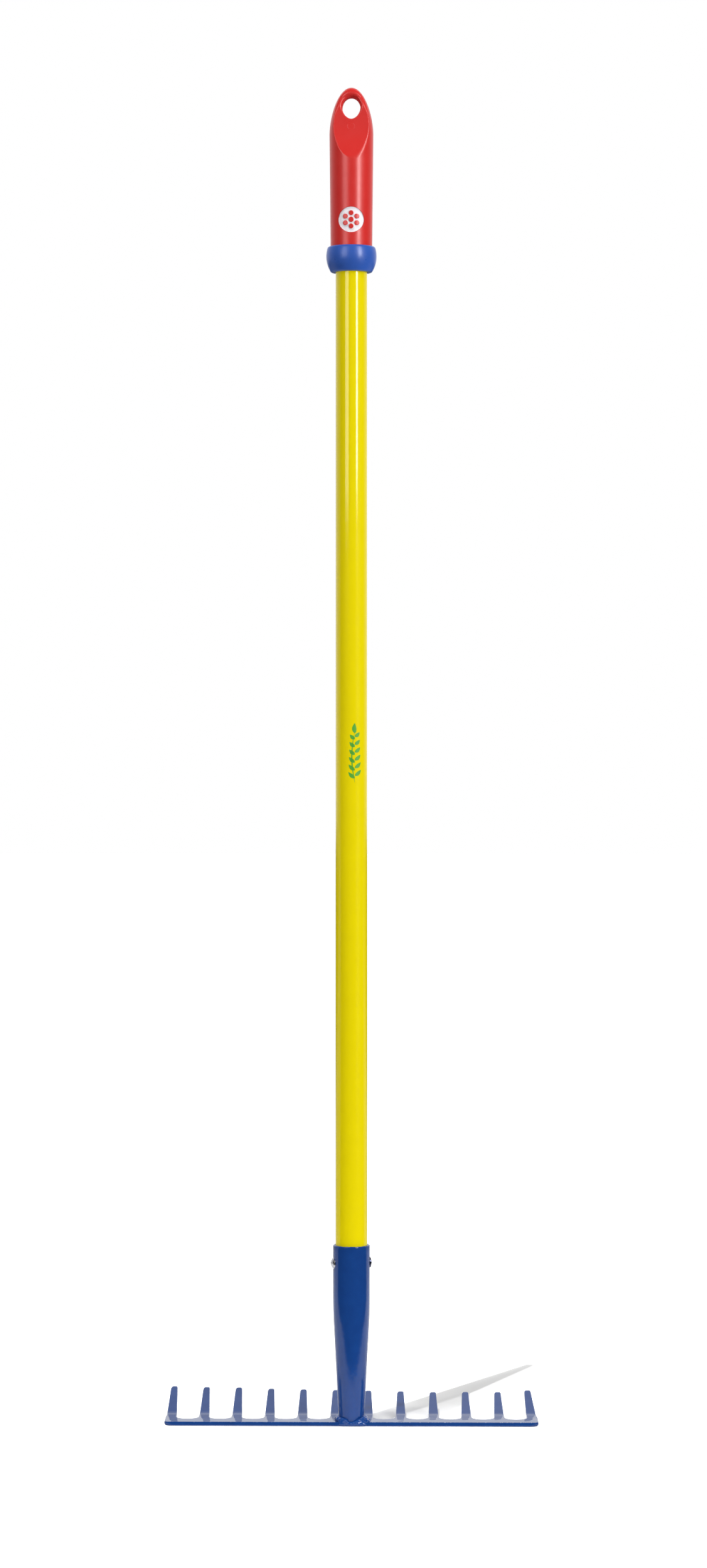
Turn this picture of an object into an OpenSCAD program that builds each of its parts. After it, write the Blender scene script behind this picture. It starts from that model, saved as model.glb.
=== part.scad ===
// Child's sand rake. A painted steel tube carries a moulded grip and collar at its upper end.
// At its lower end it is riveted into a tapered socket, which is welded to a head of bent sheet.
// The head stands on the floor: the shaft runs up Z, the bar lies along X and the tines point to +Y.
// The origin is on the shaft's axis, in the underside of the bar. All sizes are in millimetres.

/* [Rake head] */
// Thickness of the head's steel sheet
sheet_t = 3; // [2:0.1:4]
// Pairs of tines, one of each pair on either side of the shaft
tine_pairs = 6; // [3:1:8]
// Distance between the centres of neighbouring tines
tine_pitch = 22.95; // [20:0.05:28]
// Width of a tine at its root
tine_root_w = 7.6; // [5:0.1:9.5]
// Width of a tine at its tip
tine_tip_w = 4.6; // [4:0.1:6]
// Corner radius at the tip of a tine
tine_tip_r = 1.6; // [0.5:0.1:1.9]
// Length of the straight part of a tine, past its bend
tine_l = 35.5; // [20:0.5:60]
// Angle by which the tines rise from the bar
tine_rise = 18; // [6:0.5:35]
// Inside radius of the bend at the root of the tines
bend_r = 8; // [4:0.5:14]
// Depth of the bar, from its front edge to the round end of a gap
bar_depth = 13; // [10:0.1:16]
// Depth of the flat part of the head, from the front edge to the bend
flat_depth = 30.7; // [26:0.1:40]
// How far the bar runs past the centre line of the outer tines
bar_overhang = 4; // [3:0.1:8]
// Radius of the two front corners of the bar
bar_corner_r = 2.5; // [1:0.1:5]

/* [Socket and weld] */
// Length of the socket, from the bar to its rim
socket_l = 122; // [90:1:160]
// Length of the socket's straight part, which holds the shaft
socket_grip_l = 47; // [35:1:60]
// Wall of the socket
socket_wall = 1.7; // [1.2:0.1:2.5]
// Outer diameter of the socket's foot
foot_d = 17.6; // [14:0.1:20]
// How far the bar's front edge stands in front of the foot
foot_margin = 0.2; // [0.1:0.1:2]
// Radius of the weld bead round the foot
weld_leg = 3.9; // [2.5:0.1:5]
// How far the bead runs down the bar's front edge
weld_drop = 2.4; // [1:0.1:2.8]
// Flat left between the bead and the gap behind it
pad_margin = 0.8; // [0.4:0.1:2]

/* [Shaft] */
// Outer diameter of the tube
shaft_d = 22; // [18:0.1:26]
// Wall of the tube
shaft_wall = 1; // [0.7:0.1:2]
// Length of the tube, most of it bare
shaft_l = 795; // [400:1:1200]

/* [Rivet] */
// Diameter of the rivet's shank
rivet_d = 5; // [3:0.1:6]
// Distance of the rivet below the socket's rim
rivet_drop = 12.5; // [8:0.5:25]
// Turn of the rivet about the shaft, out of the line of the bar
rivet_turn = 13; // [0:1:40]
// Diameter of the domed head
rivet_head_d = 8.8; // [7:0.1:11]
// Height of the domed head
rivet_head_h = 2; // [1:0.1:3]
// Height of the straight rim below the dome
rivet_rim_h = 0.3; // [0.2:0.1:0.8]
// Diameter of the ring under the peened tail
burr_d = 7.4; // [7:0.1:10]
// Thickness of that ring
burr_t = 0.6; // [0.4:0.1:1.5]
// Height of the peened tail above the ring
peen_h = 1.1; // [0.5:0.1:2]

/* [Collar] */
// Greatest diameter of the collar
collar_d = 35; // [34:0.1:40]
// Height of the collar
collar_h = 18.7; // [14:0.1:26]
// Height of the greatest diameter above the collar's lower end
collar_crest = 11.2; // [7:0.1:13]
// Radius of the collar's bulging side, seen in section
collar_bulge_r = 20.5; // [18:0.5:40]
// Radius of the collar's upper and lower edges
collar_edge_r = 1.8; // [0.8:0.1:2]
// Depth of the seat that takes the end of the grip
collar_seat = 6; // [3:0.1:9]

/* [Grip] */
// Length of the grip, with the part in the collar
grip_l = 116.4; // [100:0.1:150]
// Diameter of the grip's lower end
grip_end_d = 28.9; // [28:0.1:30]
// Greatest diameter of the grip, where the nose starts
grip_d = 30.6; // [30:0.1:33]
// Length of the rounded nose
nose_l = 33; // [26:0.5:45]
// Fullness of the nose, 2 for an ellipse and less for a more pointed one
nose_power = 1.7; // [1.4:0.1:2.2]
// Depth of the blind bore that takes the shaft
grip_bore_l = 58.6; // [40:0.1:62]
// Least thickness of the tongue between its two hollows
tongue_t = 13.2; // [10:0.1:18]
// Radius of the hollows
scoop_r = 107; // [90:1:160]
// Distance of the thinnest place below the tip
scoop_drop = 8.7; // [5:0.1:14]
// Width of the hanging hole
hang_w = 12.7; // [8:0.1:15]
// Height of the hanging hole
hang_h = 16.6; // [16:0.1:20]
// Distance of the hanging hole's centre below the tip
hang_drop = 14.7; // [13:0.1:18]

/* [Badge] */
// Diameter of the white inlay
badge_d = 17.8; // [12:0.1:20]
// Thickness of the inlay
badge_t = 1.2; // [0.8:0.1:1.5]
// How far the inlay lies below the surface of the grip
badge_inset = 0.4; // [0.2:0.1:0.6]
// Distance of the inlay's centre above the collar
badge_rise = 16.6; // [12:0.1:25]
// Number of petals in the raised motif
petal_count = 6; // [4:1:8]
// Diameter of a petal
petal_d = 3.4; // [2:0.1:4]
// Distance of the petals from the motif's centre
petal_reach = 4.6; // [3.5:0.1:6]
// Diameter of the motif's centre
heart_d = 3.6; // [2:0.1:4]
// Height of the motif above the inlay
motif_h = 0.4; // [0.2:0.1:0.8]

/* [Fits] */
// Clearance round the shaft, at each side
shaft_clear = 0.1; // [0.05:0.05:0.3]
// Clearance round the rivet's shank, at each side
rivet_clear = 0.1; // [0.05:0.05:0.3]
// Clearance round the end of the grip in the collar, at each side
seat_clear = 0.1; // [0.05:0.05:0.3]
// Clearance round and under the inlay
inlay_clear = 0.05; // [0.05:0.05:0.2]

/* [Hidden] */

$fn = 96;
nose_steps = 24;
arc_steps = 12;
// Length by which a cutting shape runs past what it cuts
cut = 40;

head_steel = "#16408a";
socket_steel = "#174793";
tube_paint = "#eede00";
zinc = "#c4c6ca";
ring_plastic = "#2e54a4";
grip_plastic = "#d8322f";
inlay_plastic = "#f1f1f3";

// Radii
shaft_r = shaft_d / 2;
shaft_bore_r = shaft_r + shaft_clear;
socket_r = shaft_bore_r + socket_wall;
foot_r = foot_d / 2;
weld_r = foot_r + weld_leg;
rivet_r = rivet_d / 2;
rivet_hole_r = rivet_r + rivet_clear;
grip_end_r = grip_end_d / 2;
grip_r = grip_d / 2;
badge_r = badge_d / 2;

// Plan of the head
tine_count = 2 * tine_pairs;
head_w = tine_pitch * (tine_count - 1) + 2 * bar_overhang;
bar_front = foot_r + foot_margin;
gap_r = (tine_pitch - tine_root_w) / 2;
root_y = bar_depth - bar_front + gap_r;
bend_y = flat_depth - bar_front;
tip_y = bend_y + bend_r * sin(tine_rise) + tine_l * cos(tine_rise);
tip_z = sheet_t + bend_r * (1 - cos(tine_rise)) + tine_l * sin(tine_rise);
tine_taper = (tine_root_w - tine_tip_w) / (tip_y - root_y);
outer_tines_w = tine_pitch * (tine_count - 1) + tine_root_w;

// The middle gap ends further back, to leave a flat pad for the foot and its weld
pad_y = weld_r + pad_margin;
pad_gap_r = (tine_pitch - tine_root_w + tine_taper * (pad_y - root_y)) / (2 - tine_taper);

// Heights along the shaft
rim_z = sheet_t + socket_l;
shaft_z = rim_z - socket_grip_l;
rivet_z = rim_z - rivet_drop;
grip_z = shaft_z + shaft_l - grip_bore_l;
collar_z = grip_z + collar_seat - collar_h;
tip_top_z = grip_z + grip_l;
nose_z = grip_l - nose_l;
badge_z = collar_z + collar_h + badge_rise;

// Points along an arc about a centre, between two angles
function arc(centre, radius, from, to) =
    [for (step = [0 : arc_steps])
        let (angle = from + (to - from) * step / arc_steps)
            centre + radius * [cos(angle), sin(angle)]];

// Far end of a strip that leaves y = 0 along +Y and narrows evenly, with round corners
function strip_end(near_w, far_w, length, corner_r) =
    let (lean = atan((near_w - far_w) / 2 / length),
         corner_y = length - corner_r,
         corner_x = near_w / 2 - corner_y * tan(lean) - corner_r / cos(lean))
    concat(arc([corner_x, corner_y], corner_r, lean, 90),
           arc([-corner_x, corner_y], corner_r, 90, 180 - lean));

function tine_x(tine) = tine_pitch * (tine - (tine_count - 1) / 2);

// Round end of the gap between a tine and the one before it
function gap_end(tine) = tine == tine_pairs
    ? arc([0, pad_y + pad_gap_r], pad_gap_r, 0, -180)
    : arc([tine_x(tine) - tine_pitch / 2, root_y], gap_r, 0, -180);

// Outline of the head, seen from above: the front edge, then the tines from right to left
module head_plan() {
    front = strip_end(outer_tines_w, head_w, root_y + bar_front, bar_corner_r);
    tip = strip_end(tine_root_w, tine_tip_w, tip_y - root_y, tine_tip_r);
    polygon(concat(
        [for (point = front) [0, root_y] - point],
        [[outer_tines_w / 2, root_y]],
        [for (tine = [tine_count - 1 : -1 : 0])
            each concat([for (point = tip) [tine_x(tine), root_y] + point], tine > 0 ? gap_end(tine) : [])],
        [[-outer_tines_w / 2, root_y]]
    ));
}

// Section of the bent sheet: the flat bar, the bend and the rising tines
module head_section() {
    bend_centre = [bend_y, bend_r + sheet_t];
    bend_end = tine_rise - 90;
    under = arc(bend_centre, bend_r + sheet_t, -90, bend_end);
    over = arc(bend_centre, bend_r, bend_end, -90);
    run = (tine_l + sheet_t) * [cos(tine_rise), sin(tine_rise)];
    polygon(concat(
        [[-bar_front, 0]], under,
        [under[arc_steps] + run, over[0] + run], over,
        [[-bar_front, sheet_t]]
    ));
}

module rake_head() {
    color(head_steel)
        intersection() {
            translate([0, 0, -cut])
                linear_extrude(tip_z + 2 * cut)
                    head_plan();
            rotate([90, 0, 90])
                linear_extrude(head_w + 2 * cut, center = true)
                    head_section();
        }
}

// Outside of the socket as a full solid, from the bar up to its rim
module socket_form() {
    translate([0, 0, sheet_t])
        cylinder(h = socket_l - socket_grip_l, r1 = foot_r, r2 = socket_r);
    translate([0, 0, shaft_z])
        cylinder(h = socket_grip_l, r = socket_r);
}

module weld_bead() {
    color(socket_steel)
        difference() {
            translate([0, 0, sheet_t])
                rotate_extrude()
                    translate([foot_r, 0])
                        circle(r = weld_leg);
            socket_form();
            translate([-cut, -bar_front, sheet_t - cut])
                cube([2 * cut, 2 * cut, cut]);
            translate([-cut, -cut, sheet_t - weld_drop - cut])
                cube([2 * cut, 2 * cut, cut]);
        }
}

// Turns a shape along Z into one along the rivet, with its tail towards +X
module along_rivet() {
    translate([0, 0, rivet_z])
        rotate([0, 0, rivet_turn])
            rotate([0, 90, 0])
                children();
}

module rivet_hole() {
    along_rivet()
        cylinder(h = 2 * cut, r = rivet_hole_r, center = true);
}

module socket() {
    color(socket_steel)
        difference() {
            socket_form();
            translate([0, 0, sheet_t])
                cylinder(h = socket_l - socket_grip_l, r1 = foot_r - socket_wall, r2 = shaft_bore_r);
            translate([0, 0, shaft_z])
                cylinder(h = socket_grip_l + cut, r = shaft_bore_r);
            rivet_hole();
        }
}

// Round cap of a sphere that stands on the plane z = 0
module dome(base_r, height) {
    ball_r = (base_r * base_r + height * height) / (2 * height);
    intersection() {
        translate([0, 0, height - ball_r])
            sphere(r = ball_r);
        cylinder(h = height, r = base_r);
    }
}

module rivet() {
    color(zinc) {
        along_rivet() {
            translate([0, 0, -socket_r - rivet_rim_h])
                cylinder(h = 2 * socket_r + rivet_rim_h + burr_t, r = rivet_r);
            translate([0, 0, socket_r + burr_t])
                dome(rivet_r, peen_h);
        }
        difference() {
            along_rivet()
                translate([0, 0, -socket_r - rivet_rim_h])
                    rotate([180, 0, 0]) {
                        dome(rivet_head_d / 2, rivet_head_h - rivet_rim_h);
                        translate([0, 0, -rivet_head_h])
                            cylinder(h = rivet_head_h, d = rivet_head_d);
                    }
            socket_form();
        }
    }
}

module rivet_burr() {
    color(zinc)
        difference() {
            along_rivet()
                translate([0, 0, socket_r - rivet_head_h])
                    cylinder(h = rivet_head_h + burr_t, d = burr_d);
            socket_form();
            rivet_hole();
        }
}

module shaft() {
    color(tube_paint)
        difference() {
            translate([0, 0, shaft_z])
                cylinder(h = shaft_l, r = shaft_r);
            translate([0, 0, shaft_z - cut])
                cylinder(h = shaft_l + 2 * cut, r = shaft_r - shaft_wall);
            rivet_hole();
        }
}

// Half section of the collar: a bulging side that runs into round edges
module collar_section() {
    bulge_x = collar_d / 2 - collar_bulge_r;
    low_y = collar_edge_r;
    high_y = collar_h - collar_edge_r;
    function edge_x(y) = bulge_x + sqrt(pow(collar_bulge_r - collar_edge_r, 2) - pow(y - collar_crest, 2));
    function touch(y) = [bulge_x, collar_crest]
        + [edge_x(y) - bulge_x, y - collar_crest] * collar_bulge_r / (collar_bulge_r - collar_edge_r);
    intersection() {
        translate([bulge_x, collar_crest])
            circle(r = collar_bulge_r);
        translate([0, touch(low_y)[1]])
            square([collar_d, touch(high_y)[1] - touch(low_y)[1]]);
    }
    for (y = [low_y, high_y])
        translate([edge_x(y), y])
            circle(r = collar_edge_r);
    polygon([[0, 0], [edge_x(low_y), 0], touch(low_y), touch(high_y), [edge_x(high_y), collar_h], [0, collar_h]]);
}

module collar() {
    color(ring_plastic)
        translate([0, 0, collar_z])
            rotate_extrude()
                difference() {
                    collar_section();
                    translate([0, -cut])
                        square([shaft_bore_r, collar_h + 2 * cut]);
                    translate([0, collar_h - collar_seat])
                        square([grip_end_r + seat_clear, collar_seat + cut]);
                }
}

// The tapered part of the grip as a full solid, drawn in by an inset all round
module grip_skin(inset) {
    translate([0, 0, grip_z])
        cylinder(h = nose_z, r1 = grip_end_r - inset, r2 = grip_r - inset);
}

// Half section of the grip before it is hollowed out
module grip_section() {
    function nose_x(rise) = grip_r * sqrt(1 - pow(rise, nose_power));
    nose = [for (step = [0 : nose_steps]) sin(90 * step / nose_steps)];
    polygon(concat(
        [[0, 0], [grip_end_r, 0]],
        [for (rise = nose) [nose_x(rise), nose_z + nose_l * rise]]
    ));
}

// Shape along Y, towards the front of the grip, centred on the badge
module along_badge() {
    translate([0, 0, badge_z])
        rotate([90, 0, 0])
            children();
}

module badge_pocket() {
    difference() {
        along_badge()
            cylinder(h = cut, r = badge_r + inlay_clear);
        grip_skin(badge_inset + badge_t + inlay_clear);
    }
}

module hang_hole() {
    hole_r = hang_w / 2;
    half_run = (hang_h - hang_w) / 2;
    translate([0, 0, tip_top_z - hang_drop])
        rotate([90, 0, 0])
            linear_extrude(2 * cut, center = true) {
                for (side = [-1, 1])
                    translate([0, side * half_run])
                        circle(r = hole_r);
                square([hang_w, 2 * half_run], center = true);
            }
}

module grip() {
    color(grip_plastic)
        difference() {
            translate([0, 0, grip_z])
                rotate_extrude()
                    grip_section();
            for (face = [-1, 1])
                translate([0, face * (tongue_t / 2 + scoop_r), tip_top_z - scoop_drop])
                    rotate([0, 90, 0])
                        cylinder(h = 2 * cut, r = scoop_r, center = true);
            hang_hole();
            badge_pocket();
            translate([0, 0, grip_z - cut])
                cylinder(h = grip_bore_l + cut, r = shaft_bore_r);
        }
}

module badge_disc() {
    color(inlay_plastic)
        intersection() {
            difference() {
                grip_skin(badge_inset);
                grip_skin(badge_inset + badge_t);
            }
            along_badge()
                cylinder(h = cut, r = badge_r);
        }
}

module badge_motif() {
    color(grip_plastic)
        intersection() {
            difference() {
                grip_skin(badge_inset - motif_h);
                grip_skin(badge_inset);
            }
            along_badge() {
                cylinder(h = cut, d = heart_d);
                for (petal = [0 : petal_count - 1])
                    rotate(360 * petal / petal_count)
                        translate([0, petal_reach, 0])
                            cylinder(h = cut, d = petal_d);
            }
        }
}

rake_head();
weld_bead();
socket();
rivet();
rivet_burr();
shaft();
collar();
grip();
badge_disc();
badge_motif();
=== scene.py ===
"""Dresses the packed sand rake: a detailed piece for each CAD node, their materials, a pale studio and the
photograph's camera. Shapes are worked out in millimetres and become metres when their mesh is made."""

import math

import bmesh
import bpy
import numpy as np
from mathutils import Matrix, Vector, geometry


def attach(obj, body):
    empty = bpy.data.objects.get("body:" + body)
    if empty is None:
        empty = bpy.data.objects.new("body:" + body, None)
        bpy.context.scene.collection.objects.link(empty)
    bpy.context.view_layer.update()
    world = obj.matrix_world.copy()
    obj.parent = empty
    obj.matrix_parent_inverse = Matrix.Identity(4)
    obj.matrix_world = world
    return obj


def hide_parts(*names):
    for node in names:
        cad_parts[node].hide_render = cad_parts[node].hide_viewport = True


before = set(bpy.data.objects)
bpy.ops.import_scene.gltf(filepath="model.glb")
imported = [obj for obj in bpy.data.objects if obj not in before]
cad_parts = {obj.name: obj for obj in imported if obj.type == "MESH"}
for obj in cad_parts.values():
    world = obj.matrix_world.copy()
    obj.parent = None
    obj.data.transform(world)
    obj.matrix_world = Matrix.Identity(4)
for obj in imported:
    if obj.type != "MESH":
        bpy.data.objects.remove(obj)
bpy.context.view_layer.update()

MM = 0.001
CREASE = 35.0    # edges that turn by more degrees than this stay sharp

# Head, as in the part's source, apart from the bar's corners, which are rubbed a little rounder
SHEET_T = 3.0
TINES = 12
PITCH = 22.95
ROOT_W, TIP_W = 7.6, 4.6
BEND_Y = 23.0
BAR_FRONT, ROOT_Y, GAP_R = 9.0, 11.675, 7.675
PAD_Y, PAD_GAP_R = 13.5, 7.993
TIP_Y = 57.9
HEAD_HALF, OUTER_HALF, CORNER_R = 130.225, 130.025, 3.2

# Marks of handwork on the head: the tines are bent by unlike angles, in degrees, and all turn a little to one
# side, the last one leans in, the tips are ground rounder on the left, given as the width and length of the
# corner, and the bar's front edge is chipped
TINE_RISE = (21.2, 20.4, 20.1, 18.9, 18.3, 17.7, 17.1, 16.5, 15.8, 15.9, 16.0, 17.9)
TIP_LEFT, TIP_RIGHT = (1.5, 3.6), (0.9, 2.2)
SOFT_BEND_R = 20.0
TINE_SKEW, LAST_LEAN = 0.0115, 1.8
CHIP_DEPTH = 0.16

# Cut edges of the sheet, as the lean of the cut and the radii of its upper and lower corners
FRONT_CUT = (math.radians(82), 0.22, 0.95)
TINE_CUT = (math.radians(89), 0.35, 0.8)
END_CUT = (math.radians(80), 0.5, 1.9)

# Places along a tine that its outline has points at, closest together in the bend
TINE_ROWS = [13.5, 15.5, 17.5] + [18.8 + 0.55 * k for k in range(17)]
TINE_ROWS += [29.0, 32.0, 36.0, 40.0, 45.0, 50.0, 54.0]

# Parts of the bar's front line, and how far the bar's ends stand back from the source's
FRONT_STEPS, END_INSET = 600, 0.15

# Socket and rivet
FOOT_R, SOCKET_R, SOCKET_BORE_R = 8.8, 12.8, 11.1
CONE_TOP_Z, RIM_Z = 78.0, 125.0
SOCKET_WALL = 1.7
RIM_R, RIM_BORE_R, RIM_RIPPLE = 0.8, 0.5, 0.2
SOCKET_TURNS = 160
SWELL, SWELL_MOST = 0.004, 0.0008    # unevenness of the socket, as a share of its radius
RIVET_Z, RIVET_TURN, RIVET_R = 112.5, math.radians(13), 2.5
RIVET_HEAD_R, RIVET_HEAD_H, RIVET_RIM_H = 4.0, 1.8, 0.15
RIVET_EDGE, RIVET_SINK = 0.12, 0.02    # how far the dome and the other steps of the profile are set in
BURR_R, BURR_T, BURR_EDGE_R, PEEN_H, PEEN_DENT = 3.7, 0.6, 0.2, 1.1, 0.12
RIVET_TURNS = 64

# Shaft, collar and grip; collar and grip end a little lower than in the source, as in the photograph
SHAFT_R, SHAFT_WALL, SHAFT_Z, SHAFT_TOP, SHAFT_EDGE = 11.0, 1.0, 78.0, 873.0, 0.3
COLLAR_Z, COLLAR_H, COLLAR_R = 801.7, 17.95, 17.5
COLLAR_CREST, COLLAR_BULGE_R, COLLAR_EDGE_R, COLLAR_SEAT = 11.2, 20.5, 1.8, 5.25
COLLAR_LIP_R = 0.25
GRIP_Z, GRIP_L, GRIP_END_R, GRIP_R = 814.4, 116.4, 14.45, 15.3
NOSE_H, NOSE_L, NOSE_POWER = 83.4, 32.6, 1.7
GRIP_BORE_L = 58.6
TONGUE_T, SCOOP_R, SCOOP_Z = 13.2, 107.0, 922.1
HANG_W, HANG_H, HANG_Z, HANG_TOP = 12.7, 16.6, 916.1, 7.7
FIT = 0.1

# Badge
BADGE_Z, BADGE_R, BADGE_T, BADGE_INSET = 837.0, 8.9, 1.2, 0.4
BADGE_SINK = 0.12    # how far the face lies below its rim
PETALS, PETAL_R, PETAL_REACH, HEART_R, MOTIF_H, MOTIF_EDGE_R = 6, 1.7, 4.6, 1.8, 0.4, 0.22

# Printed sprig, as places on the flattened girth of the shaft
STEM_X, STEM_Z, STEM_L, STEM_W = 2.6, 446.8, 36.0, 0.9
LEAF_PAIRS, LEAF_Z, LEAF_PITCH, LEAF_STAGGER, LEAF_TURN = 6, 450.0, 5.4, 1.6, math.radians(48)
LEAF_L, LEAF_SHRINK, LEAF_W = 6.2, 0.3, 2.6
END_LEAF_Z, END_LEAF_L, END_LEAF_W = 481.0, 7.2, 3.2
INK_OUT, INK_IN = 0.03, 0.2    # how far the ink stands out of the shaft and reaches into it


# Meshes

def add_piece(name, points, faces, material, crease=CREASE):
    """A smooth mesh object from points in millimetres; edges sharper than the crease angle stay sharp."""
    shape = bmesh.new()
    verts = [shape.verts.new(Vector(p) * MM) for p in np.asarray(points, float).tolist()]
    for face in faces:
        shape.faces.new([verts[i] for i in face])
    bmesh.ops.remove_doubles(shape, verts=shape.verts, dist=1e-7)
    bmesh.ops.recalc_face_normals(shape, faces=shape.faces)
    mesh = bpy.data.meshes.new(name)
    shape.to_mesh(mesh)
    shape.free()
    mesh.shade_smooth()
    mesh.set_sharp_from_angle(angle=math.radians(crease))
    return add_object(name, mesh, material)


def add_object(name, mesh, material):
    mesh.materials.append(material)
    obj = bpy.data.objects.new(name, mesh)
    bpy.context.scene.collection.objects.link(obj)
    return obj


def dress(obj, node):
    """The piece rides on the rake and stands for its CAD node, which is hidden."""
    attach(obj, "root")
    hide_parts(node)
    return obj


def cut_away(obj, cutters, crease=CREASE):
    """Cuts the cutter pieces out of obj and removes them."""
    for cutter in cutters:
        cut = obj.modifiers.new("cut", "BOOLEAN")
        cut.operation = "DIFFERENCE"
        cut.solver = "EXACT"
        cut.object = cutter
    graph = bpy.context.evaluated_depsgraph_get()
    mesh = bpy.data.meshes.new_from_object(obj.evaluated_get(graph))
    obj.modifiers.clear()
    old, obj.data = obj.data, mesh
    bpy.data.meshes.remove(old)
    mesh.shade_smooth()
    mesh.set_sharp_from_angle(angle=math.radians(crease))
    for cutter in cutters:
        bpy.data.objects.remove(cutter)


def turned(profile, turns=128):
    """Points and faces of a closed profile of (radius, height) turned about Z."""
    profile = np.asarray(profile, float)
    angle = np.arange(turns) * 2 * math.pi / turns
    r, z = profile[:, 0][:, None], profile[:, 1][:, None]
    points = np.stack([r * np.cos(angle), r * np.sin(angle), z + 0 * angle], -1)
    return points.reshape(-1, 3), ring_faces(len(profile), turns, True)


def ring_faces(rings, turns, closed):
    """Quads between rings of points; closed joins the last ring to the first."""
    faces = []
    for i in range(rings if closed else rings - 1):
        k = (i + 1) % rings
        for j in range(turns):
            n = (j + 1) % turns
            faces.append((i * turns + j, i * turns + n, k * turns + n, k * turns + j))
    return faces


def arc(centre, radius, start, end, steps):
    """Points along an arc, with angles in degrees."""
    angle = np.radians(np.linspace(start, end, steps + 1))
    return [(centre[0] + radius * math.cos(a), centre[1] + radius * math.sin(a)) for a in angle]


def ripple(*phases):
    """A smooth uneven value between about -1 and 1."""
    total = 0
    for i, phase in enumerate(phases):
        total = total + np.sin(phase + 1.7 * i) * (0.6 + 0.4 * np.sin(0.37 * phase + i))
    return total / len(phases)


def ramp(value, start, end):
    """Rises from 0 at start to 1 at end; end may be the lower of the two."""
    return np.clip((value - start) / (end - start), 0, 1)


def surface_net(field, low, high, step, rounds=6):
    """Quad mesh of the surface where field is zero; field is negative inside and about a distance."""
    axes = [np.arange(a - 2 * step, b + 3 * step, step) for a, b in zip(low, high)]
    inside = field(np.stack(np.meshgrid(*axes, indexing="ij"), -1)) < 0
    full = sum(inside[i:i - 1 or None, j:j - 1 or None, k:k - 1 or None].astype(int)
               for i in (0, 1) for j in (0, 1) for k in (0, 1))
    mixed = (full > 0) & (full < 8)
    number = np.full(mixed.shape, -1)
    number[mixed] = np.arange(mixed.sum())
    points = np.array([a[0] for a in axes]) + (np.argwhere(mixed) + 0.5) * step
    quads = []
    for axis in range(3):
        order = (axis, (axis + 1) % 3, (axis + 2) % 3)
        side, cell = inside.transpose(order), number.transpose(order)
        i, j, k = np.nonzero(side[:-1, 1:-1, 1:-1] != side[1:, 1:-1, 1:-1])
        quad = np.stack([cell[i, j, k], cell[i, j + 1, k], cell[i, j + 1, k + 1], cell[i, j, k + 1]], 1)
        start_inside = side[i, j + 1, k + 1]
        quad[~start_inside] = quad[~start_inside][:, ::-1]
        quads.append(quad)
    quads = np.concatenate(quads)
    ends = np.concatenate([quads[:, [0, 1]], quads[:, [1, 2]], quads[:, [2, 3]], quads[:, [3, 0]]])
    degree = np.bincount(ends.ravel(), minlength=len(points))[:, None]
    # evened out among their neighbours and pulled back, with the last two rounds for the pull alone
    for turn in range(rounds):
        total = np.zeros_like(points)
        for a, b in ((0, 1), (1, 0)):
            for c in range(3):
                total[:, c] += np.bincount(ends[:, a], points[ends[:, b], c], len(points))
        if turn < rounds - 2:
            points = 0.4 * points + 0.6 * total / degree
        points = pull_to_surface(field, points)
    return points, quads.tolist()


def pull_to_surface(field, points):
    """Moves points along the field's slope to where it is zero."""
    reach = 1e-3
    value = field(points)
    slope = np.stack([(field(points + reach * axis) - field(points - reach * axis)) / (2 * reach)
                      for axis in np.eye(3)], -1)
    return points - (value / np.maximum((slope ** 2).sum(-1), 0.1))[..., None] * slope


def round_max(a, b, radius):
    """Intersection of two fields with a round edge."""
    edge = np.hypot(np.maximum(a + radius, 0), np.maximum(b + radius, 0))
    return np.minimum(np.maximum(a, b), -radius) + edge


def soft_min(a, b, width):
    """Union of two fields with a soft seam."""
    mix = np.clip(0.5 + 0.5 * (b - a) / width, 0, 1)
    return b + (a - b) * mix - width * mix * (1 - mix)


# Materials

FINE_PEEL, COARSE_PEEL = 0.00004, 0.00008    # heights of relief, in metres
FINE_GRAIN, COARSE_GRAIN = 0.00002, 0.00006
RING_HEIGHT, HAMMER_HEIGHT = 0.0001, 0.00012
# pale chips on rubbed edges: worn paint, painted lighter so that they also stand for glints on the edge
PALE_CHIP_GLINT = (0.62, 0.66, 0.74, 1.0)
ZINC_DULL, ZINC_BRIGHT = (0.40, 0.41, 0.45, 1.0), (0.74, 0.74, 0.77, 1.0)
# painted shade: dark navy that stands for shade and the blue socket's reflection on the rivet's tail and ring
PAINTED_SHADE_DARK, PAINTED_SHADE_PALE = (0.03, 0.035, 0.07, 1.0), (0.10, 0.11, 0.17, 1.0)


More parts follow.
